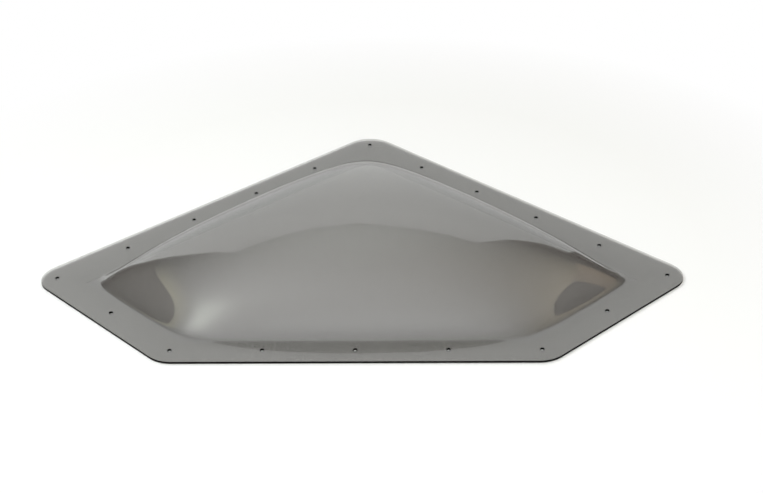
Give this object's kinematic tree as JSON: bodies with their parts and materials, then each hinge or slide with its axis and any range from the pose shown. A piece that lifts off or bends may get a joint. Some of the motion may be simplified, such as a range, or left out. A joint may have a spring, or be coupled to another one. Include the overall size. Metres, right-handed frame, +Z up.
{
  "type": "rv skylight",
  "caption": "Smoke-tinted blown plastic skylight dome with a flat drilled flange, bedded on sealing strips, for a corner shower roof.",
  "frame": {"origin": "on the roof plane, under the middle of the outline's bounding box", "axes": "+Z up out of the roof, +Y towards the square back corner, +X to the right seen from the front edge"},
  "size_m": [0.8304, 0.6127, 0.0806],
  "materials": {
    "smoke_sheet": "clear smoke-tinted sheet, high gloss on both faces",
    "seal": "matt, soft, slightly tacky"
  },
  "bodies": {
    "root": {"outer_dome": "smoke_sheet", "seal_back_right": "seal", "seal_side_right": "seal", "seal_front": "seal", "seal_side_left": "seal", "seal_back_left": "seal"}
  },
  "joints": []
}
